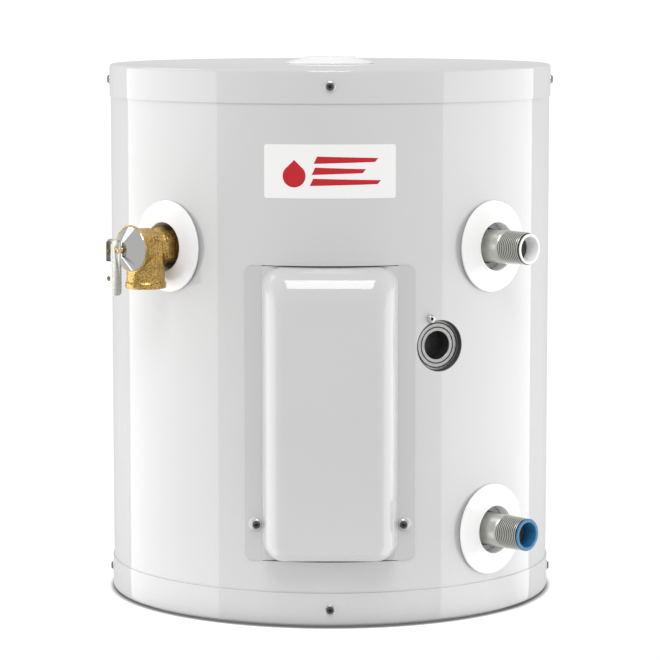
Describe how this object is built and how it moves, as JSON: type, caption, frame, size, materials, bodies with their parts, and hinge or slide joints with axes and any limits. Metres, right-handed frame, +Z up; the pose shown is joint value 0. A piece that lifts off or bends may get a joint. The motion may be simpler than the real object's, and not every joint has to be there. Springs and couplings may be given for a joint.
{
  "type": "tank water heater",
  "caption": "Small upright electric tank water heater with a white round jacket, front access cover, side nipples and a brass relief valve.",
  "frame": {"origin": "centre of the bottom pan's flat base", "axes": "+Z up the tank's axis; the access cover faces -Y; +X to the right seen from the front"},
  "size_m": [0.3662, 0.3834, 0.4375],
  "materials": {
    "white_enamel": "gloss baked enamel on steel",
    "white_plastic": "glossy white moulded plastic",
    "badge_foil": "satin printed label with a red mark",
    "tank_steel": "mill-scale steel outside, enamelled inside",
    "galvanised_steel": "zinc-plated pipe steel",
    "zinc_screw": "bright zinc-plated screw",
    "zinc_sheet": "galvanised sheet",
    "cast_brass": "sand-cast brass with machined faces",
    "turned_brass": "turned brass",
    "chrome": "polished chrome plate",
    "stainless": "pressed stainless strip",
    "spring_steel": "bright spring wire",
    "foam": "cast polyurethane foam",
    "polystyrene": "moulded polystyrene foam",
    "dam_foam": "grey closed-cell foam sleeve",
    "fibreglass": "yellow fibreglass wool",
    "white_liner": "white polypropylene",
    "blue_liner": "blue polypropylene",
    "pale_plastic": "unpigmented polypropylene",
    "olive_rubber": "moulded rubber",
    "black_rubber": "EPDM rubber",
    "magnesium": "extruded magnesium",
    "copper_sheath": "tin-plated copper sheath",
    "black_phenolic": "moulded black phenolic",
    "red_plastic": "red moulded plastic",
    "cream_plastic": "cream moulded plastic",
    "lead_insulation": "black wire insulation"
  },
  "bodies": {
    "cabinet": {"bottom_pan": "white_enamel", "top_lid": "white_enamel", "jacket": "white_enamel", "pan_screws": "zinc_screw", "lid_screws": "zinc_screw", "badge_label": "badge_foil", "tank_shell": "tank_steel", "tank_bottom_head": "tank_steel", "tank_top_head": "tank_steel", "tank_spuds": "tank_steel", "element_spud": "tank_steel", "anode_spud": "tank_steel", "anode_plug": "galvanised_steel", "anode_rod": "magnesium", "hot_nipple": "galvanised_steel", "hot_liner": "white_liner", "hot_trap_flap": "olive_rubber", "cold_nipple": "galvanised_steel", "cold_liner": "blue_liner", "cold_trap_flap": "olive_rubber", "hot_pickup_tube": "pale_plastic", "cold_diffuser": "pale_plastic", "hot_escutcheon": "white_plastic", "cold_escutcheon": "white_plastic", "relief_escutcheon": "white_plastic", "anode_escutcheon": "white_plastic", "element_gasket": "black_rubber", "element_flange": "galvanised_steel", "element_sheath": "copper_sheath", "element_terminal_block": "black_phenolic", "element_terminal_screws": "turned_brass", "thermostat_body": "black_phenolic", "thermostat_terminal_screws": "turned_brass", "thermostat_bracket": "spring_steel", "element_leads": "lead_insulation", "cable_entry_cup": "zinc_sheet", "knockout_plate": "zinc_sheet", "ground_screw": "zinc_screw", "fitting_dams": "dam_foam", "relief_dam": "dam_foam", "anode_dam": "dam_foam", "pocket_dam": "fibreglass", "base_pad": "polystyrene", "foam_insulation": "foam", "relief_body": "cast_brass", "relief_bonnet": "chrome", "relief_probe": "copper_sheath"},
    "relief_stem_set": {"relief_stem": "turned_brass", "relief_disc": "turned_brass", "relief_spring": "spring_steel", "relief_pin": "turned_brass"},
    "relief_lever": {"relief_lever": "stainless"},
    "access_cover": {"access_cover": "white_enamel", "access_cover_screws": "zinc_screw", "cover_insulation": "fibreglass"},
    "thermostat_dial": {"thermostat_dial": "cream_plastic"},
    "reset_button": {"reset_button": "red_plastic"}
  },
  "joints": [
    {"name": "relief_stem_lift", "type": "slide", "parent": "cabinet", "child": "relief_stem_set", "axis": [-0.7071, -0.7071, 0], "range_m": [0, 0.003]},
    {"name": "relief_lever_turn", "type": "hinge", "parent": "relief_stem_set", "child": "relief_lever", "pos_m": [-0.16652, -0.16652, 0.2925], "axis": [-0.7071, 0.7071, 0], "range_deg": [0, 90]},
    {"name": "access_cover_slide", "type": "slide", "parent": "cabinet", "child": "access_cover", "axis": [0, -1, 0], "range_m": [0, 0.15]},
    {"name": "thermostat_dial_turn", "type": "hinge", "parent": "cabinet", "child": "thermostat_dial", "pos_m": [0, -0.171, 0.176], "axis": [0, -1, 0], "range_deg": [-135, 135]},
    {"name": "reset_button_press", "type": "slide", "parent": "cabinet", "child": "reset_button", "axis": [0, 1, 0], "range_m": [0, 0.002], "stiffness_N_per_m": 300}
  ],
  "couplings": [
    {"joint": "relief_stem_lift", "follows": "relief_lever_turn", "m_per_rad": 0.0019099}
  ]
}
